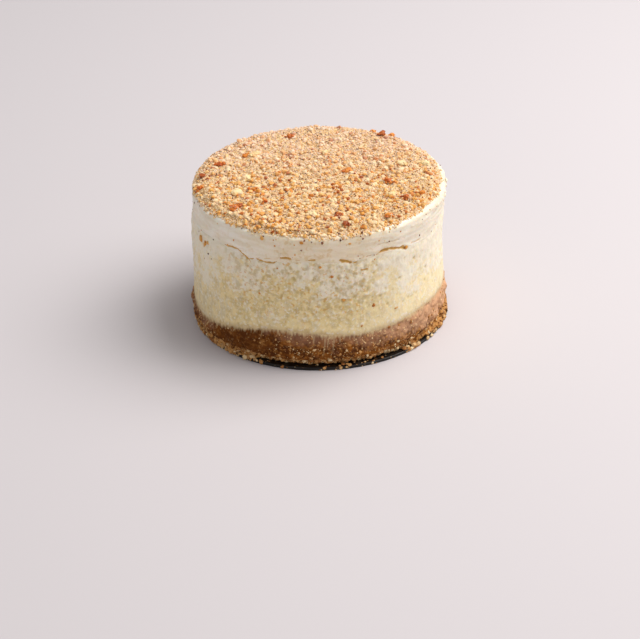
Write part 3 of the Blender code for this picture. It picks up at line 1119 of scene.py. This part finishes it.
@dataclass
class CreamLayer(Skin):
    """Whipped cream with level ripples, a rounded top edge and a few torn bits."""

    rows: int = 28
    edge_rows: int = 8
    top_rows: int = 10
    mark_names: tuple[str, ...] = ("crack",)

    def profile(self) -> list[tuple[float, float]]:
        """Levels 0 to 1 are the side and 1 to 2 the rounded edge; the rest of level 2 is the flat top.

        Returns:
            The points, from the axis below, out, up and back to the axis.
        """
        side = [(1.0, row / self.rows) for row in range(self.rows + 1)]
        edge = [(1.0, 1.0 + row / self.edge_rows) for row in range(1, self.edge_rows + 1)]
        top = [(1.0 - 0.006 * row, 2.0) for row in range(1, self.top_rows + 1)]
        return [(0.0, 0.0), (0.5, 0.0), (0.93, 0.0)] + side + edge + top + [(0.5, 2.0), (0.0, 2.0)]

    def place(self, share: float, level: float, angle: float) -> Vector:
        """Where a point of the side, the rounded edge or the top lies.

        Args:
            share: its share of the radius.
            level: its level.
            angle: its angle round the cake.

        Returns:
            The place.
        """
        turn = 0.5 * math.pi * min(1.0, max(0.0, level - 1.0))
        foot = self.below.height(angle) - self.lap_below
        height = foot + min(level, 1.0) * (self.above.height(angle) - foot)
        radius = self.side(angle, height) - RIM_ROUND * (1.0 - math.cos(turn))
        return at(share * radius, angle, height + RIM_ROUND * math.sin(turn))

    def surface(self, point: Vector, level: float, angle: float) -> tuple[float, Marks]:
        """Ripples, cracks, torn bits and a soft lower edge.

        Args:
            point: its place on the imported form.
            level: its level in the layer.
            angle: its angle round the cake.

        Returns:
            How far it stands out, in mm, and the numbers that the mesh keeps there for the finish.
        """
        seam = self.below.height(angle)
        climb = (point.z - seam) / MM
        swell = rough(point, 7.0 * MM)
        torn = ramp(rough(point, 2.2 * MM, 3), 0.3, 0.6) * ramp(swell, 0.0, 0.3)
        stain, dent = creased(angle, point)
        relief = 0.22 * rough(point, 1.9 * MM, 3, wide=4.5) + 0.2 * swell + 0.35 * torn
        out = relief * ramp(climb, 0.0, 1.2) - dent
        if climb < JOIN_DEPTH:
            step = self.step_to(point, angle, seam - EDGE_MARGIN)
            out += step * ramp(climb, JOIN_DEPTH, 0.2) - sunk(-climb)
        return out * min(1.0, 2.0 - level), {"crack": stain}


class Fineness(Enum):
    """How finely a crumb's shape is divided."""

    COARSE = 1
    MEDIUM = 2
    FINE = 3


@dataclass
class Heap:
    """Crumbs of one kind, joined into one mesh from a few chopped shapes."""

    name: str
    finish: Finish
    fineness: Fineness
    seed: int
    slot: str = "crumbs"
    cuts: int = 6
    variants: int = 10
    total: int = 0
    draw: np.random.Generator = field(init=False, repr=False)
    shapes: list[tuple[np.ndarray, np.ndarray]] = field(init=False, repr=False)
    points: list[np.ndarray] = field(default_factory=list, repr=False)
    faces: list[np.ndarray] = field(default_factory=list, repr=False)
    tones: list[np.ndarray] = field(default_factory=list, repr=False)

    def __post_init__(self) -> None:
        """Chop the shapes."""
        self.draw = np.random.default_rng(SEED + self.seed)
        self.shapes = [self.chopped() for _ in range(self.variants)]

    def chopped(self) -> tuple[np.ndarray, np.ndarray]:
        """One crumb about 1 across: a ball made uneven and cut flat on a few sides.

        Returns:
            The crumb's points and faces.
        """
        ball = bmesh.new()
        bmesh.ops.create_icosphere(ball, subdivisions=self.fineness.value, radius=0.5)
        shift = Vector(self.draw.uniform(-50.0, 50.0, 3))
        for vert in ball.verts:
            lumps = 0.35 * noise.noise(2.2 * vert.co + shift) + 0.2 * noise.noise(6.0 * vert.co + shift)
            vert.co *= 1.0 + lumps
        for _ in range(self.cuts):
            facing = Vector(self.draw.normal(size=3)).normalized()
            depth = self.draw.uniform(0.26, 0.42)
            for vert in ball.verts:
                vert.co -= max(0.0, vert.co.dot(facing) - depth) * facing
        points = np.array([vert.co for vert in ball.verts])
        faces = np.array([[vert.index for vert in face.verts] for face in ball.faces])
        ball.free()
        return points, faces

    def angle(self) -> float:
        """Draw an angle."""
        return self.draw.uniform(-180.0, 180.0)

    def width(self, smallest: float, largest: float, power: float) -> float:
        """Draw a width between two widths in mm, the smaller the likelier as the power grows."""
        return (smallest + (largest - smallest) * self.draw.random() ** power) * MM

    def add(self, place: Vector, size: float, facing: Vector, squash: float = 0.7) -> None:
        """Lay one crumb.

        Args:
            place: its middle.
            size: its width.
            facing: direction out of the surface that it lies on.
            squash: its thickness as a share of its width.
        """
        points, faces = self.shapes[int(self.draw.integers(len(self.shapes)))]
        turn = Euler(self.draw.uniform(0.0, math.tau, 3)).to_matrix()
        lie = facing.to_track_quat("Z", "Y").to_matrix() @ Matrix.Diagonal((1.0, 1.0, squash))
        placed = points @ np.array(lie @ turn).T * size + np.array(place)
        placed += np.maximum(0.0, np.array(CAD_BOX[0]) - placed.min(axis=0))
        placed -= np.maximum(0.0, placed.max(axis=0) - np.array(CAD_BOX[1]))
        self.points.append(placed)
        self.faces.append(faces + self.total)
        self.tones.append(np.full(len(points), self.draw.random()))
        self.total += len(points)

    def build(self) -> None:
        """Join the crumbs into one piece."""
        mesh = bpy.data.meshes.new(self.name)
        mesh.from_pydata(np.concatenate(self.points), [], np.concatenate(self.faces))
        tone = mesh.attributes.new("tone", "FLOAT", "POINT")
        tone.data.foreach_set("value", np.concatenate(self.tones).astype(np.float32))
        if self.fineness is not Fineness.COARSE:
            mesh.shade_smooth()
            mesh.set_sharp_from_angle(angle=math.radians(SHARP_ANGLE))
        put(self.name, mesh, self.finish)


@dataclass(frozen=True)
class Scatter:
    """How one kind of small crumb is spread over the top: its sizes in mm, and its shares back and front."""

    name: str
    finish: CrumbFinish
    count: int
    sizes: tuple[float, float]
    fineness: Fineness
    back: float
    front: float
    lift: float
    spill: float


MEAL = CrumbFinish("meal", 0.75, 0.25, low="EAC39A", high="F6DFC4", core="D8A478", dust_and_sheen=0.65)
FINE_MEAL = CrumbFinish("fine_meal", 0.8, 0.25, low="E9BE94", high="FAE6CE", core="DCAA80", dust_and_sheen=0.65)
PALE = CrumbFinish("pale_crumb", 0.6, 0.25, low="ECC694", high="F5DAB2", core="DAAA74", dust_and_sheen=0.6)
GOLD = CrumbFinish("golden_crumb", 0.55, 0.2, low="D9963F", high="F2C27C", core="C2803A", dust_and_sheen=0.4)
AMBER = CrumbFinish("amber_crumb", 0.45, 0.1, low="A04A14", high="E08E3A", core="7A3410", dust_and_sheen=0.3)
SPECK = CrumbFinish("orange_speck", 0.5, 0.1, low="B8722C", high="DB9A46", core="96541C")
BROWN = CrumbFinish("brown_speck", 0.6, low="57291A", high="97562F", core="3A1A12")
TAN_BISCUIT = CrumbFinish("tan_biscuit", 0.8, low="9A6230", high="D2A062", core="6E4020")
PALE_BISCUIT = CrumbFinish("pale_biscuit", 0.75, low="C99A5E", high="EFD9AE", core="A87438")
AMBER_NUT = CrumbFinish("amber_nut", 0.4, 0.1, low="B8500F", high="E8963C", core="7A2C0A", mottled=0.9)
DARK_NUT = CrumbFinish("dark_nut", 0.45, low="8E3A10", high="D2742A", core="4A1A0A", mottled=0.9)
PALE_NUT = CrumbFinish("pale_nut", 0.5, 0.15, low="E9C68C", high="F5E0B2", core="D9A862", mottled=0.7)

SCATTERS = (
    Scatter("topping_meal", MEAL, 9000, (0.35, 0.75), Fineness.COARSE, 1.0, 0.8, 0.10, 0.6),
    Scatter("topping_fine_meal", FINE_MEAL, 9500, (0.25, 0.5), Fineness.COARSE, 1.0, 0.9, 0.35, 0.9),
    Scatter("topping_pale", PALE, 1100, (0.7, 2.2), Fineness.MEDIUM, 0.4, 1.0, 0.02, 0.2),
    Scatter("topping_golden", GOLD, 1300, (0.45, 1.8), Fineness.MEDIUM, 0.1, 1.0, 0.14, 0.3),
    Scatter("topping_amber", AMBER, 680, (0.4, 1.6), Fineness.MEDIUM, 0.1, 1.0, 0.14, 0.2),
    Scatter("topping_brown", BROWN, 2600, (0.25, 0.65), Fineness.COARSE, 0.3, 1.0, 0.25, 0.3),
)
# Crumbs on the cream's rim: finish, count and largest size in mm
RIM_KINDS = ((MEAL, 3000, 0.7), (PALE, 700, 1.1), (GOLD, 1000, 1.0), (BROWN, 420, 0.6))

# Large pieces of nut: place across and towards the back and size, in mm
LARGE_NUTS = (
    (AMBER_NUT, (
        (-26.1, -22.1, 3.9), (9.3, 2.2, 3.6), (22.1, -6.1, 3.0), (21.1, -29.6, 3.0), (32.4, -15.4, 2.8),
        (-9.0, 29.0, 3.0), (-31.5, 9.0, 3.0), (-20.5, -10.0, 2.8), (-23.4, 15.0, 2.6), (-8.9, -11.8, 2.6),
        (-16.9, -17.4, 2.4), (-37.4, -6.7, 2.4), (18.4, 32.4, 2.4), (24.7, 31.1, 2.6),
    )),
    (DARK_NUT, (
        (27.1, -17.0, 3.0), (6.0, -28.9, 3.5), (7.9, -34.6, 3.0), (21.3, 29.5, 3.2), (-24.3, -20.6, 3.2),
        (-37.0, 0.7, 2.6),
    )),
    (PALE_NUT, (
        (-20.7, 15.7, 4.2), (-22.6, -1.6, 3.8), (-25.4, -11.6, 4.4), (-1.6, -27.8, 3.6), (34.6, 6.3, 4.0),
        (22.7, -14.8, 4.0), (27.0, 6.1, 3.0), (2.5, 16.0, 2.6),
    )),
)


@dataclass
class Topping:
    """The bed of meal on the cream, with crumbs and nut pieces scattered over it."""

    form: Form
    cream: Form
    finish: MealFinish
    cells: int = 236
    smoothing: int = 3
    foot_height: float = RIM_HEIGHT - 1.1 * MM
    skirt_height: float = RIM_HEIGHT + 0.6 * MM
    slope: float = 2.2 * MM
    chips: int = 6
    tree: BVHTree | None = None

    def edge_radius(self, angle: float) -> float:
        """Radius of the crumbs' ragged edge at an angle."""
        return self.form.radius(angle, self.skirt_height) or SIDE_RADIUS - 1.0 * MM

    def bed(self) -> None:
        """Lay the bed: a fine grid drawn out to the ragged edge, raised to the form, closed below."""
        shape = bmesh.new()
        relief = shape.verts.layers.float.new("relief")
        bmesh.ops.create_grid(shape, x_segments=self.cells, y_segments=self.cells, size=1.0)
        rim = [edge for edge in shape.edges if edge.is_boundary]
        for vert in shape.verts:
            x, y = vert.co.x, vert.co.y
            disc = Vector((x * math.sqrt(1.0 - 0.5 * y * y), y * math.sqrt(1.0 - 0.5 * x * x), 0.0))
            edge = self.edge_radius(math.degrees(math.atan2(disc.x, -disc.y)))
            vert.co = AXIS + disc * edge
            low = max(self.cream.top(vert.co) or 0.0, RIM_FOOT) + 0.1 * MM
            high = self.form.top(AXIS + disc * (edge - 0.4 * MM)) or low
            vert.co.z = low + (high - low) * ramp((1.0 - disc.length) * edge, -0.3 * MM, self.slope)
        smoothed(shape, [vert for vert in shape.verts if not vert.is_boundary], self.smoothing)
        for vert in shape.verts:
            grains = 0.6 * grain_field(vert.co, 1.1 * MM) + 0.4 * grain_field(vert.co, 0.55 * MM)
            vert[relief] = grains
            if not vert.is_boundary:
                vert.co.z += (0.45 * (grains - 0.5) + 0.45 * rough(vert.co, 3.2 * MM)) * MM
        for item in bmesh.ops.extrude_edge_only(shape, edges=rim)["geom"]:
            if isinstance(item, bmesh.types.BMVert):
                item.co.z = self.foot_height
        bmesh.ops.edgeloop_fill(shape, edges=[edge for edge in shape.edges if edge.is_boundary])
        self.tree = BVHTree.FromBMesh(shape)
        name = f"{self.form.name}_bed"
        put(name, mesh_of(shape, name), self.finish, self.form.name)

    def height(self, place: Vector) -> float | None:
        """Height of the bed, or of the cream's rim beside it, under a place, or None past the rim."""
        height = under(self.tree, place)
        return self.cream.top(place) if height is None else height

    def surface(self, place: Vector) -> Vector:
        """Point of the bed or the rim at a place seen from above."""
        return Vector((place.x, place.y, self.height(place) or RIM_HEIGHT))

    def scatter(self, kind: Scatter, seed: int) -> None:
        """Spread one kind of small crumb over the bed, in loose clumps and by its shares back and front.

        Args:
            kind: the kind of crumb.
            seed: number of its random draws.
        """
        heap = Heap(kind.name, kind.finish, kind.fineness, seed)
        left = kind.count
        while left:
            share = math.sqrt(heap.draw.random()) * (1.0 + 0.006 * kind.spill)
            angle = heap.draw.uniform(0.0, 360.0)
            place = at(share * self.edge_radius(angle), angle)
            towards_front = 0.5 - 0.5 * (place.y - AXIS.y) / SIDE_RADIUS
            wanted = kind.back + (kind.front - kind.back) * towards_front
            if heap.draw.random() > wanted * (1.0 + 0.9 * rough(place, 5.0 * MM)):
                continue
            size = heap.width(*kind.sizes, 2)
            heap.add(self.surface(place) + kind.lift * size * UP, size, UP, heap.draw.uniform(0.6, 0.95))
            left -= 1
        heap.build()

    def nuts(self) -> None:
        """Lay the large pieces of nut at their places, each with chips of its own kind round it."""
        for number, (finish, places) in enumerate(LARGE_NUTS):
            heap = Heap(f"{finish.name}s", finish, Fineness.FINE, NUT_SEED + number, cuts=8)
            for x, y, size in places:
                middle = AXIS + Vector((x, y, 0.0)) * MM
                heap.add(self.surface(middle) + 0.2 * size * MM * UP, 0.85 * size * MM, UP, 0.62)
                for _ in range(self.chips):
                    distance = 0.5 * size * MM * math.sqrt(heap.draw.random())
                    place = middle + distance * heading(heap.draw.uniform(0.0, 360.0))
                    chip = heap.draw.uniform(0.2, 0.45) * size * MM
                    heap.add(self.surface(place) + 0.4 * chip * UP, chip, UP, 0.7)
            heap.build()

    def rim_crumbs(self) -> None:
        """Strew the cream's rim as far out as the spread chosen for each angle."""
        for number, (finish, count, largest) in enumerate(RIM_KINDS):
            heap = Heap(f"rim_{finish.name}s", finish, Fineness.COARSE, RIM_SEED + number)
            left = count
            while left:
                angle = heap.angle()
                spread = RIM_SPREAD.at(angle) * (1.0 + 0.8 * rough(at(40.0 * MM, angle), 4.0 * MM))
                edge = self.edge_radius(angle)
                radius = edge - 0.5 * MM + 2.3 * MM * heap.draw.random()
                if heap.draw.random() > ramp((radius - edge) / MM, spread, 0.3 * spread - 0.4):
                    continue
                place = at(radius, angle)
                place.z = self.height(place) or 0.0
                if place.z < RIM_FOOT:
                    continue
                size = heap.width(0.35, largest, 1.5) * (1.0 + 0.5 * ramp(abs(angle), 80.0, 120.0))
                heap.add(place + 0.1 * size * UP, size, heading(angle) + 1.5 * UP)
                left -= 1
            heap.build()


# Crumbs stuck to the side: angle, height and size in mm
AMBER_SPECKS = (
    (-28, 25.0, 0.9), (-19, 35.0, 0.6), (-8, 44.5, 1.3), (0, 36.0, 1.1), (5, 32.5, 1.2), (24, 20.5, 1.4),
    (35, 17.0, 0.7), (18, 14.0, 0.8), (-20, 42.5, 0.8), (19, 32.5, 0.6), (41, 11.0, 1.6), (-62, 34.6, 1.2),
)
GOLD_SPECKS = (
    (-26, 44.5, 1.5), (10, 24.0, 1.3), (13, 43.5, 0.9), (-66, 34.5, 2.4), (-62, 33.4, 2.0), (-60, 35.0, 1.4),
    (-32, 43.6, 0.8), (42, 36.8, 1.2), (-47, 37.8, 1.0), (-45, 38.3, 0.8), (39, 11.8, 1.8), (36, 17.0, 0.8),
)
BROWN_SPECKS = (
    (1, 44.5, 1.0), (19, 46.2, 0.9), (19, 44.5, 0.7), (-56, 30.5, 0.9), (-63, 28.5, 0.7), (-59, 31.5, 0.7),
    (-55, 37.5, 0.7), (-69, 36.0, 0.8), (-3.5, 44.8, 0.5), (18, 45.5, 0.5),
)
SIDE_KINDS = ((SPECK, AMBER_SPECKS), (GOLD, GOLD_SPECKS), (BROWN, BROWN_SPECKS))
# Torn bits of cream that stand out of the side: angle, height and size in mm
CREAM_BITS = (
    (89, 44.9, 2.0), (86, 44.2, 1.4), (91, 43.7, 1.5), (90, 40.9, 1.9), (93, 40.0, 1.3), (88, 40.2, 1.2),
    (89, 36.8, 1.6), (91, 36.0, 2.1), (94, 36.9, 1.5), (96, 42.5, 1.2), (-95, 41.0, 1.0), (150, 39.5, 1.4),
)


@dataclass
class SideCrumbs:
    """Crumbs stuck to the cake's side, some at their seen places and more of them under the rim."""

    forms: tuple[Form, ...]
    fallen: int = 43

    def stick(self, heap: Heap, angle: float, height: float, size: float, squash: float = 0.5) -> None:
        """Stick one crumb of a heap to the side at an angle and a height.

        Args:
            heap: the heap that it joins.
            angle: its angle round the cake.
            height: its height.
            size: its width.
            squash: its thickness as a share of its width.
        """
        radii = [form.radius(angle, height) for form in self.forms]
        radius = max((radius for radius in radii if radius), default=SIDE_RADIUS)
        heap.add(at(radius, angle, height), size, heading(angle), squash)

    def torn_bits(self, finish: CreamFinish) -> None:
        """Stick the torn bits of cream to the right of the side.

        Args:
            finish: the cream's finish.
        """
        heap = Heap("cream_bits", finish, Fineness.FINE, CREAM_SEED, "cream")
        for angle, height, size in CREAM_BITS:
            self.stick(heap, angle, height * MM, size * MM, 0.55)
        heap.build()

    def build(self) -> None:
        """Lay the crumbs and join each kind."""
        for number, (finish, places) in enumerate(SIDE_KINDS):
            heap = Heap(f"side_{finish.name}s", finish, Fineness.MEDIUM, SIDE_SEED + number)
            for angle, height, size in places:
                self.stick(heap, angle, height * MM, size * MM)
            for _ in range(self.fallen):
                angle = heap.angle()
                height = RIM_HEIGHT - (0.6 + 9.0 * heap.draw.random() ** 2) * MM
                self.stick(heap, angle, height, heap.draw.uniform(0.3, 0.75) * MM)
            heap.build()


@dataclass
class BiscuitCrumbs:
    """Loose biscuit crumbs on the base's side, along its foot and on the card's ledge."""

    form: Form
    border: Border
    side_count: int = 800
    foot_count: int = 1300
    ledge_count: int = 2000

    def build(self) -> None:
        """Lay the crumbs and join each kind."""
        for number, (finish, share) in enumerate(((TAN_BISCUIT, 0.65), (PALE_BISCUIT, 0.35))):
            name = f"{finish.name}_crumbs"
            heap = Heap(name, finish, Fineness.COARSE, BISCUIT_SEED + number, "biscuit")
            self.on_side(heap, int(share * self.side_count))
            self.on_foot(heap, int(share * self.foot_count))
            self.on_ledge(heap, int(share * self.ledge_count))
            heap.build()

    def radius(self, angle: float, height: float) -> float:
        """Radius of the base at an angle and a height."""
        return self.form.radius(angle, height) or SIDE_RADIUS

    def on_side(self, heap: Heap, left: int) -> None:
        """Stick a number of crumbs to the base's side, fewer towards its top and where it is bare.

        Args:
            heap: the heap that they join.
            left: their number.
        """
        while left:
            angle = heap.angle()
            if heap.draw.random() < 0.75 * ramp(abs(angle + 42.0), 26.0, 10.0):
                continue
            top = self.border.height(angle) - 1.0 * MM
            height = LEDGE_HEIGHT + 0.5 * MM + (top - LEDGE_HEIGHT) * heap.draw.random() ** 1.6
            size = heap.width(0.35, 1.25, 3)
            heap.add(at(self.radius(angle, height) + 0.05 * size, angle, height), size, heading(angle), 0.6)
            left -= 1

    def on_foot(self, heap: Heap, count: int) -> None:
        """Heap a number of crumbs along the base's lower edge.

        Args:
            heap: the heap that they join.
            count: their number.
        """
        for _ in range(count):
            angle = heap.angle()
            height = LEDGE_HEIGHT + (0.5 + 1.8 * heap.draw.random() ** 1.5) * MM
            size = heap.width(0.4, 2.1, 3)
            place = at(self.radius(angle, height + 0.4 * MM) - 0.2 * size, angle, height)
            heap.add(place, size, heading(angle), heap.draw.uniform(0.45, 0.95))

    def on_ledge(self, heap: Heap, left: int) -> None:
        """Scatter a number of crumbs on the card's ledge and its edge, in clumps, few of them in front.

        Args:
            heap: the heap that they join.
            left: their number.
        """
        while left:
            angle = heap.angle()
            clumps = 1.0 + 1.8 * rough(at(CARD_RADIUS, angle), 3.0 * MM)
            if heap.draw.random() > LEDGE_COVER.at(angle) * clumps:
                continue
            size = heap.width(0.3, 2.1, 3)
            over_edge = heap.draw.random() < 0.6
            slip = heap.draw.uniform(-0.35, 0.15) * size
            radius = CARD_RADIUS + (slip if over_edge else -2.2 * MM * heap.draw.random())
            height = LEDGE_HEIGHT * heap.draw.uniform(0.1, 1.1) if over_edge else LEDGE_HEIGHT + 0.3 * size
            facing = heading(angle) if over_edge else UP
            heap.add(at(radius, angle, height), size, facing, heap.draw.uniform(0.35, 0.75))
            left -= 1


@dataclass(frozen=True)
class Lamp:
    """A square soft light aimed at the middle of the cake."""

    name: str
    angle: float
    elevation: float
    distance: float
    size: float
    power: float
    colour: str

    def build(self) -> None:
        """Hang the light."""
        lamp = bpy.data.lights.new(self.name, "AREA")
        lamp.shape = "SQUARE"
        lamp.size = self.size
        lamp.energy = self.power
        lamp.color = seen(self.colour)[:3]
        rise = math.radians(self.elevation)
        outward = math.cos(rise) * heading(self.angle) + math.sin(rise) * UP
        holder = shown(self.name, lamp)
        holder.location = AXIS + self.distance * outward
        holder.rotation_euler = outward.to_track_quat("Z", "Y").to_euler()


@dataclass
class Studio:
    """Pale floor, soft light and the camera at the photograph's viewing angle."""

    distance: float = 700.0 * MM
    elevation: float = 30.0
    roll: float = -1.36
    aim: tuple[float, float, float] = (-0.48 * MM, 0.0, -5.36 * MM)
    focal_pixels: float = 2120.4
    sensor_width: float = 36.0
    floor_width: float = 6.0
    sky: str = "FFFFFF"
    sky_strength: float = 0.42
    lamps: tuple[Lamp, ...] = (
        Lamp("key", 101.0, 56.0, 0.9, 0.75, 10.3, "FFFBF6"),
        Lamp("fill", -35.0, 22.0, 0.9, 0.7, 0.36, "FFE6C8"),
    )

    def camera(self) -> None:
        """Set up the camera."""
        lens = bpy.data.cameras.new("camera")
        lens.sensor_width = self.sensor_width
        lens.lens = self.focal_pixels * self.sensor_width / IMAGE_WIDTH
        lens.clip_start = 0.01
        holder = shown("camera", lens)
        rise = math.radians(self.elevation)
        back = Vector((0.0, -math.cos(rise), math.sin(rise)))
        roll = Matrix.Rotation(math.radians(self.roll), 4, "Z")
        turn = Matrix.Rotation(0.5 * math.pi - rise, 4, "X") @ roll
        holder.matrix_world = Matrix.Translation(AXIS + Vector(self.aim) + self.distance * back) @ turn
        bpy.context.scene.camera = holder

    def floor(self) -> None:
        """Lay the floor under the card."""
        shape = bmesh.new()
        bmesh.ops.create_grid(shape, x_segments=1, y_segments=1, size=0.5 * self.floor_width)
        mesh = mesh_of(shape, "floor")
        mesh.materials.append(FloorFinish("floor", roughness=0.9).material())
        shown("floor", mesh)

    def light(self) -> None:
        """Hang the lamps and light the sky."""
        world = bpy.data.worlds.new("sky")
        world.use_nodes = True
        background = world.node_tree.nodes["Background"]
        background.inputs["Color"].default_value = seen(self.sky)
        background.inputs["Strength"].default_value = self.sky_strength
        bpy.context.scene.world = world
        bpy.context.scene.view_settings.view_transform = "Standard"
        for lamp in self.lamps:
            lamp.build()


def main() -> None:
    """Build the cake's pieces in order, then the light, the floor and the camera."""
    logging.basicConfig(level=logging.INFO, format="%(name)s: %(message)s")
    base, filling, cream, topping = (
        Form.of_node(node) for node in ("biscuit_base", "cheese_filling", "cream_layer", "crumb_topping")
    )
    ledge, rim = Flat(LEDGE_HEIGHT), Flat(RIM_HEIGHT - RIM_ROUND)
    biscuit_line, seam_line = Border(base), Border(filling)
    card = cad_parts["card"]
    card.data.materials.clear()
    card.data.materials.append(CardFinish("card_black", roughness=0.4).material())
    biscuit_finish = BiscuitFinish("biscuit", roughness=0.85, shine=0.15)
    base_skin = BiscuitBase(base, biscuit_finish, "biscuit", ledge, biscuit_line, filling).build()
    filling_finish = FillingFinish("filling", roughness=0.5, glow=0.2)
    CheeseFilling(filling, filling_finish, "filling", biscuit_line, seam_line).build()
    cream_finish = CreamFinish("cream", roughness=0.45, glow=0.25)
    cream_skin = CreamLayer(cream, cream_finish, "cream", seam_line, rim, filling).build()
    top = Topping(topping, Form("cream_skin", cream_skin.data), MealFinish("meal_bed", roughness=0.8))
    top.bed()
    for number, kind in enumerate(SCATTERS):
        top.scatter(kind, number)
    top.nuts()
    top.rim_crumbs()
    side_crumbs = SideCrumbs((filling, cream))
    side_crumbs.build()
    side_crumbs.torn_bits(cream_finish)
    BiscuitCrumbs(Form("base_skin", base_skin.data), biscuit_line).build()
    studio = Studio()
    studio.floor()
    studio.light()
    studio.camera()


if __name__ == "__main__":
    main()
